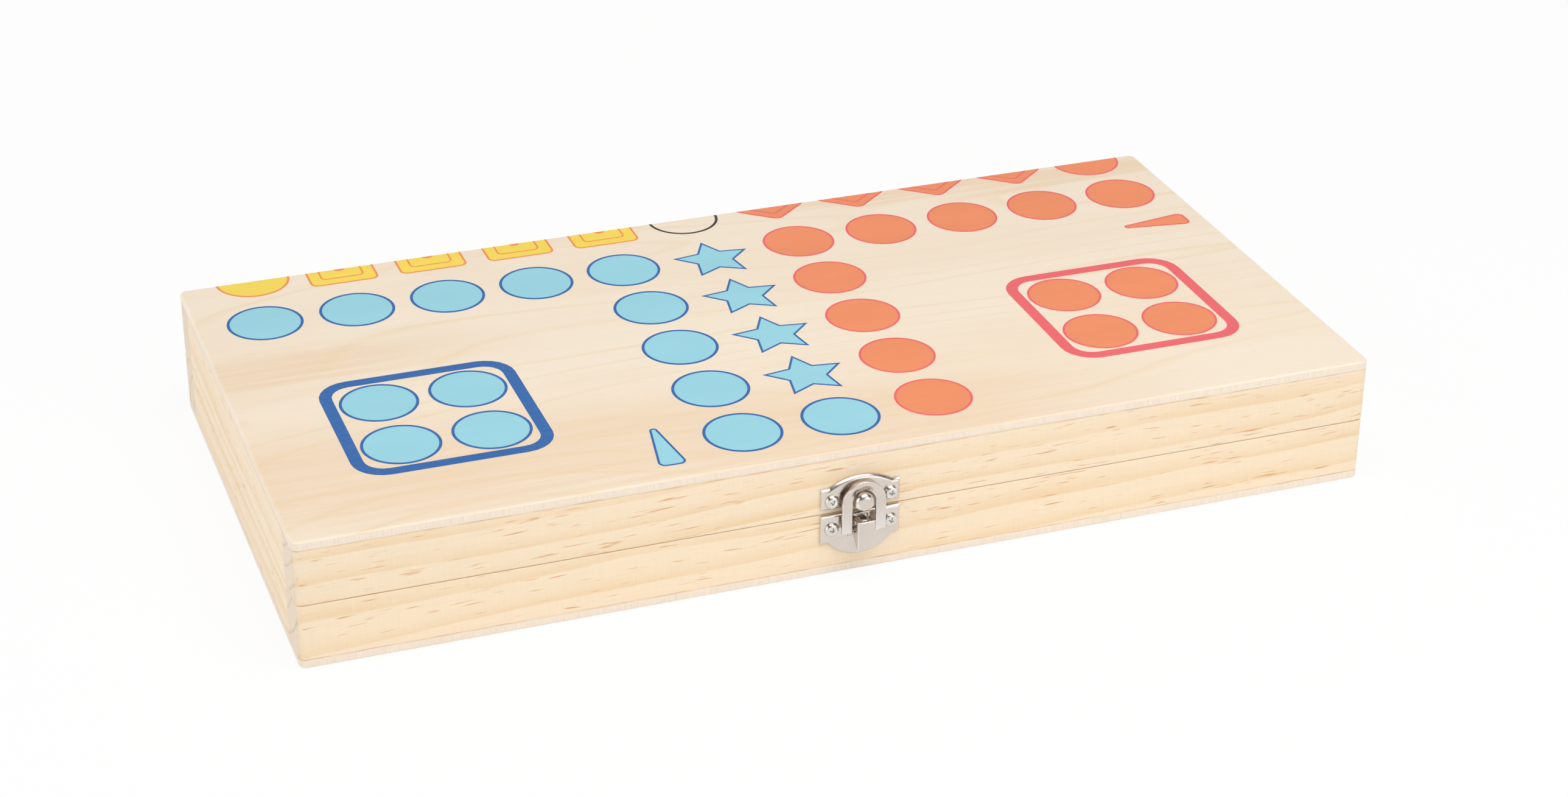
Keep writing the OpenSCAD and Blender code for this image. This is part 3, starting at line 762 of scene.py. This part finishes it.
class LUDO_OT_hinges(bpy.types.Operator):
    """Dress the two butt hinges on the fold side with their pins and screws"""

    bl_idname = "ludo.hinges"
    bl_label = "Hinges"

    def execute(self, context):
        look = context.scene.ludo_metal
        # the brass is painted paler on its sharp edges, partly as rubbed wear and partly as a painted
        # highlight
        brass = plated("brass_plated_steel", look.brass, 0.3, "#F4E0B0", (300, 3000, 3000))
        for side in ("left", "right"):
            for part, body in (
                ("lower_leaf", "lower_tray"), ("upper_leaf", "upper_tray"), ("pin", "lower_tray"),
                ("lower_screws", "lower_tray"), ("upper_screws", "upper_tray"),
            ):
                node = side + "_hinge_" + part
                piece = merged_copy(node, "brass_" + node)
                smooth(piece)
                hand_over(piece, brass, "hinge_metal", body, node)
        return {"FINISHED"}


# Latch

def latch_plate(name, z0, z1, rise, border):
    """A stamped plate, in mm: a strip with an ear at each end and an arch on z1, its front border rolled."""
    half, ear = 11.1, 9.0
    up = 1 if rise > 0 else -1
    radius = (ear * ear + rise * rise) / (2 * abs(rise))
    middle = z1 + rise - up * radius
    reach = math.asin(ear / radius)
    arch = [(radius * math.sin(a), middle + up * radius * math.cos(a))
            for a in (reach - 2 * reach * i / 40 for i in range(41))]
    outline = [(-half, z0), (half, z0), (half, z1)] + arch + [(-half, z1)]
    bpy.ops.object.select_all(action="DESELECT")
    bpy.ops.mesh.primitive_circle_add(vertices=len(outline), radius=MM, fill_type="NGON")
    piece = bpy.context.object
    piece.name = name
    for vertex, (x, z) in zip(piece.data.vertices, outline):
        vertex.co = (x * MM, FRONT * MM, z * MM)
    bpy.ops.object.mode_set(mode="EDIT")
    bpy.ops.mesh.select_mode(type="FACE")
    bpy.ops.mesh.select_all(action="SELECT")
    bpy.ops.mesh.extrude_region_move(TRANSFORM_OT_translate={"value": (0, (PLATE_FACE - FRONT) * MM, 0)})
    bpy.ops.mesh.select_all(action="SELECT")
    bpy.ops.mesh.normals_make_consistent(inside=False)
    bpy.ops.object.mode_set(mode="OBJECT")
    round_border(piece, lambda e: all(v.co.y < (PLATE_FACE + NEAR) * MM for v in e.verts), border, 5, 0.36)
    return piece


class LUDO_OT_latch_plates(bpy.types.Operator):
    """Model the keeper plate with its pressed hook and the base plate with its lugs"""

    bl_idname = "ludo.latch_plates"
    bl_label = "Latch plates"

    def execute(self, context):
        look = context.scene.ludo_metal
        nickel = plated("satin_nickel_plates", look.nickel, look.rough)
        for node, body, z0, z1, rise, border in (
            ("latch_keeper_plate", "upper_tray", 19.8, 26.1, 2.7, look.rolled_edge),
            ("latch_base_plate", "lower_tray", 18.1, 9.8, -4.5, look.rolled_edge * 0.65),
        ):
            raised = cut(merged_copy(node, "raised"), (0, PLATE_FACE - NEAR, 0), (0, 1, 0))
            if node == "latch_base_plate":
                cut(raised, (0, 0, LUG_TOP), (0, 0, 1))
            piece = latch_plate("pressed_" + node, z0, z1, rise, border)
            only(piece, raised)
            bpy.ops.object.join()
            smooth(piece, 30)
            hand_over(piece, nickel, "latch_metal", body, node)
        return {"FINISHED"}


def bent_loop(dish):
    """The loop's sheet, in mm: a strip spun over the hook on straight legs, its arch dished to the hook."""
    inner, outer, arch, foot = 3.25, 6.15, 21.95, 13.3
    thick, flat, eased = 0.9, 0.9, 0.18     # the sheet, the border round the dish, the edges
    bpy.ops.object.select_all(action="DESELECT")
    bpy.ops.mesh.primitive_grid_add(
        x_subdivisions=8, y_subdivisions=2, size=MM,
        location=((inner + outer) / 2 * MM, (LOOP_BACK - thick / 2) * MM, arch * MM))
    piece = bpy.context.object
    piece.scale = (outer - inner, thick, 1)
    bpy.ops.object.transform_apply(location=True, scale=True)
    bpy.ops.object.mode_set(mode="EDIT")
    bpy.ops.mesh.select_all(action="SELECT")
    bpy.ops.mesh.spin(steps=48, angle=math.pi, center=(0, 0, arch * MM), axis=(0, 1, 0))
    bpy.ops.mesh.select_mode(type="FACE")
    bpy.ops.mesh.select_all(action="DESELECT")
    shape = bmesh.from_edit_mesh(piece.data)
    for face in shape.faces:
        face.select_set(all(abs(v.co.z - arch * MM) < 1e-6 for v in face.verts))
    bmesh.update_edit_mesh(piece.data)
    bpy.ops.mesh.extrude_region_move(TRANSFORM_OT_translate={"value": (0, 0, (foot - arch) * MM)})
    bpy.ops.mesh.select_all(action="SELECT")
    bpy.ops.mesh.remove_doubles(threshold=1e-6)
    bpy.ops.mesh.normals_make_consistent(inside=False)
    bpy.ops.object.mode_set(mode="OBJECT")
    finish_with(piece, "BEVEL", width=eased * MM, segments=3, limit_method="ANGLE",
                angle_limit=math.radians(50))
    for vertex in piece.data.vertices:
        x, z = vertex.co.x / MM, vertex.co.z / MM - arch
        if z > 0:
            off = math.hypot(x, z)
            inwards = min(max((outer - flat - off) / (outer - flat - inner), 0), 1)
            vertex.co.y += dish * (z / off) ** 2 * inwards * inwards * (3 - 2 * inwards)
    return piece


class LUDO_OT_latch_lever_and_loop(bpy.types.Operator):
    """Model the dished loop, and dress the folded lever and the two pins they turn on"""

    bl_idname = "ludo.latch_lever_and_loop"
    bl_label = "Latch lever and loop"

    def execute(self, context):
        look = context.scene.ludo_metal
        nickel = plated("satin_nickel_lever", look.nickel, look.rough)
        for node, body, chosen, width in (
            ("latch_lever", "latch_lever",
             lambda e: all(v.co.y < (LEVER_FACE + 0.2) * MM for v in e.verts), look.worn_edge * 1.5),
            ("latch_loop_pin", "latch_lever", lambda e: True, look.worn_edge * 0.5),
            ("latch_lever_pin", "lower_tray", lambda e: True, look.worn_edge * 0.5),
        ):
            piece = merged_copy(node, "pressed_" + node)
            round_border(piece, chosen, width)
            smooth(piece)
            hand_over(piece, nickel, "latch_metal", body, node)
        tongues = cut(merged_copy("latch_loop", "tongues"), (0, LOOP_BACK + NEAR, 0), (0, -1, 0))
        loop = bent_loop(look.dish)
        loop.name = "bent_latch_loop"
        only(loop, tongues)
        bpy.ops.object.join()
        smooth(loop)
        hand_over(loop, nickel, "latch_metal", "latch_loop", "latch_loop")
        return {"FINISHED"}


def round_head(radius=2.0, high=1.2):
    """A pan head with its cross recess, its underside on the origin's plane and facing up, in mm."""
    bpy.ops.object.select_all(action="DESELECT")
    bpy.ops.mesh.primitive_cylinder_add(vertices=64, radius=radius * MM, depth=high * MM,
                                        location=(0, 0, high * MM / 2))
    head = bpy.context.object
    bpy.ops.object.transform_apply(location=True)
    bpy.ops.object.mode_set(mode="EDIT")
    bpy.ops.mesh.select_mode(type="EDGE")
    bpy.ops.mesh.select_all(action="DESELECT")
    shape = bmesh.from_edit_mesh(head.data)
    for edge in shape.edges:
        edge.select_set(all(v.co.z > (high - NEAR) * MM for v in edge.verts))
    bmesh.update_edit_mesh(head.data)
    bpy.ops.mesh.bevel(offset=0.72 * high * MM, segments=7, affect="EDGES", clamp_overlap=False)
    bpy.ops.mesh.select_all(action="SELECT")
    bpy.ops.mesh.remove_doubles(threshold=1e-6)
    bpy.ops.object.mode_set(mode="OBJECT")

    # the top falls a little towards the rim
    for vertex in head.data.vertices:
        off = math.hypot(vertex.co.x, vertex.co.y) / (radius * MM)
        if vertex.co.z > high * MM * 0.2:
            vertex.co.z -= 0.16 * MM * off * off

    # the cross: two arms that taper downwards
    cross = None
    for turn in (0, 90):
        bpy.ops.object.select_all(action="DESELECT")
        bpy.ops.mesh.primitive_cube_add(size=1, location=(0, 0, high * MM))
        arm = bpy.context.object
        arm.scale = (2.3 * MM, 0.52 * MM, 1.5 * MM)
        arm.rotation_euler = (0, 0, math.radians(turn))
        bpy.ops.object.transform_apply(location=True, rotation=True, scale=True)
        for vertex in arm.data.vertices:
            if vertex.co.z < high * MM:
                vertex.co.x *= 0.45 if turn == 0 else 0.8
                vertex.co.y *= 0.8 if turn == 0 else 0.45
        if cross is None:
            cross = arm
        else:
            finish_with(cross, "BOOLEAN", object=arm, operation="UNION", solver="EXACT")
            discard(arm)
    finish_with(head, "BOOLEAN", object=cross, operation="DIFFERENCE", solver="EXACT")
    discard(cross)
    finish_with(head, "BEVEL", width=0.05 * MM, segments=2, limit_method="ANGLE",
                angle_limit=math.radians(45))
    return head


class LUDO_OT_screws(bpy.types.Operator):
    """Model the four pan-head screws of the latch: heads with a cross recess, on shanks in the wood"""

    bl_idname = "ludo.screws"
    bl_label = "Latch screws"

    def execute(self, context):
        look = context.scene.ludo_metal
        bright = plated("bright_nickel_screws", look.screw, look.rough * 0.8)
        master = round_head()
        for node, body, x, z, turn in (
            ("latch_keeper_screw_left", "upper_tray", -SCREW_X, 22.5, 26),
            ("latch_keeper_screw_right", "upper_tray", SCREW_X, 22.5, 14),
            ("latch_base_screw_left", "lower_tray", -SCREW_X, 14.2, 8),
            ("latch_base_screw_right", "lower_tray", SCREW_X, 14.2, 24),
        ):
            shank = cut(merged_copy(node, "pan_head_" + node), (0, FRONT - 0.5, 0), (0, -1, 0))
            head = bpy.data.objects.new("head", master.data.copy())
            bpy.context.collection.objects.link(head)
            head.data.transform(
                Matrix.Translation((x * MM, PLATE_FACE * MM, z * MM))
                @ Matrix.Rotation(math.radians(turn), 4, "Y") @ Matrix.Rotation(math.pi / 2, 4, "X"))
            only(shank, head)
            bpy.ops.object.join()
            smooth(shank, 40)
            hand_over(shank, bright, "latch_screws", body, node)
        discard(master)
        return {"FINISHED"}


class LUDO_OT_stage(bpy.types.Operator):
    """Set the plain floor, the soft lamps and the camera"""

    bl_idname = "ludo.stage"
    bl_label = "Stage"

    def execute(self, context):
        look = context.scene.ludo_stage
        bpy.ops.object.select_all(action="DESELECT")
        bpy.ops.mesh.primitive_plane_add(size=12, location=(0, 0, -0.0001))
        bpy.ops.object.transform_apply(location=True)
        floor = context.object
        floor.name = "floor"
        edit((bpy.ops.mesh.subdivide, {"number_cuts": 3}))
        material, t = new_material("matt_paper_floor")
        paper = put(t, "BsdfPrincipled", {"Base Color": opaque(look.floor), "Roughness": 0.9})
        bright = put(t, "Emission", {"Color": (1, 1, 1, 1), "Strength": 1.0})
        seen = calc(t, "MULTIPLY", shown_background(t), 0.9)
        put(t, "OutputMaterial", {"Surface": put(t, "MixShader", {0: seen, 1: paper, 2: bright})})
        floor.data.materials.append(material)

        world = bpy.data.worlds.new("studio")
        context.scene.world = world
        world.use_nodes = True
        t = world.node_tree
        t.nodes.clear()
        room = put(t, "Background", {"Color": opaque("#F4F2F0"), "Strength": 0.45})
        height = put(t, "SeparateXYZ", {0: put(t, "TexCoord", out="Generated")}, out="Z")
        glow = spread(t, height, 0.1, 0.42, 1.0, 0.12)
        white = put(t, "Background", {"Color": (1, 1, 1, 1), "Strength": glow})
        put(t, "OutputWorld", {"Surface": put(t, "MixShader", {0: shown_background(t), 1: room, 2: white})})

        high = look.distance
        for name, place, size, power in (
            ("soft_box_over", (0.1, -0.3, high), 0.85, 5.7),
            ("soft_box_front", (0.6, -1.1, high * 0.55), 0.8, 3.0),
            ("soft_box_left", (-1.2, -0.25, high * 0.5), 0.8, 3.3),
            ("soft_box_back", (-0.95, 1.05, high * 0.55), 0.8, 3.2),
        ):
            bpy.ops.object.select_all(action="DESELECT")
            bpy.ops.object.light_add(type="AREA", location=place)
            lamp = context.object
            lamp.name = name
            lamp.data.shape = "SQUARE"
            lamp.data.size = size
            lamp.data.energy = power
            lamp.rotation_euler = (Vector((0, 0, 0.02)) - Vector(place)).to_track_quat("-Z", "Y").to_euler()

        bpy.ops.object.select_all(action="DESELECT")
        bpy.ops.object.camera_add(
            location=CAMERA_PLACE, rotation=[math.radians(turn) for turn in CAMERA_TURNS])
        camera = context.object
        camera.name = "camera"
        camera.data.lens = look.lens
        camera.data.sensor_width = 36
        camera.data.clip_start = 0.01
        camera.data.dof.use_dof = False
        context.scene.camera = camera
        context.scene.view_settings.view_transform = "Standard"
        return {"FINISHED"}


STEPS = (
    LUDO_OT_pine_rails,
    LUDO_OT_plywood_panels,
    LUDO_OT_upper_print,
    LUDO_OT_lower_print,
    LUDO_OT_hinges,
    LUDO_OT_latch_plates,
    LUDO_OT_latch_lever_and_loop,
    LUDO_OT_screws,
    LUDO_OT_stage,
)


class LUDO_PT_box(bpy.types.Panel):
    """Steps and looks of the folding ludo board box"""

    bl_idname = "LUDO_PT_box"
    bl_label = "Folding ludo board box"
    bl_space_type = "VIEW_3D"
    bl_region_type = "UI"
    bl_category = "Ludo box"

    def draw(self, context):
        for step in STEPS:
            self.layout.operator(step.bl_idname)
        for group in (context.scene.ludo_wood, context.scene.ludo_print, context.scene.ludo_metal,
                      context.scene.ludo_stage):
            box = self.layout.box()
            for key in type(group).__annotations__:
                box.prop(group, key)


GROUPS = {"ludo_wood": WoodLook, "ludo_print": PrintLook, "ludo_metal": MetalLook, "ludo_stage": StageLook}


def register():
    for group in GROUPS.values():
        bpy.utils.register_class(group)
    for step in STEPS:
        bpy.utils.register_class(step)
    bpy.utils.register_class(LUDO_PT_box)
    for name, group in GROUPS.items():
        setattr(bpy.types.Scene, name, PointerProperty(type=group))


def unregister():
    for name in GROUPS:
        delattr(bpy.types.Scene, name)
    bpy.utils.unregister_class(LUDO_PT_box)
    for step in reversed(STEPS):
        bpy.utils.unregister_class(step)
    for group in reversed(list(GROUPS.values())):
        bpy.utils.unregister_class(group)


def main():
    """Makes the whole look."""
    register()
    for step in STEPS:
        group, name = step.bl_idname.split(".")
        getattr(getattr(bpy.ops, group), name)()


if __name__ == "__main__":
    main()
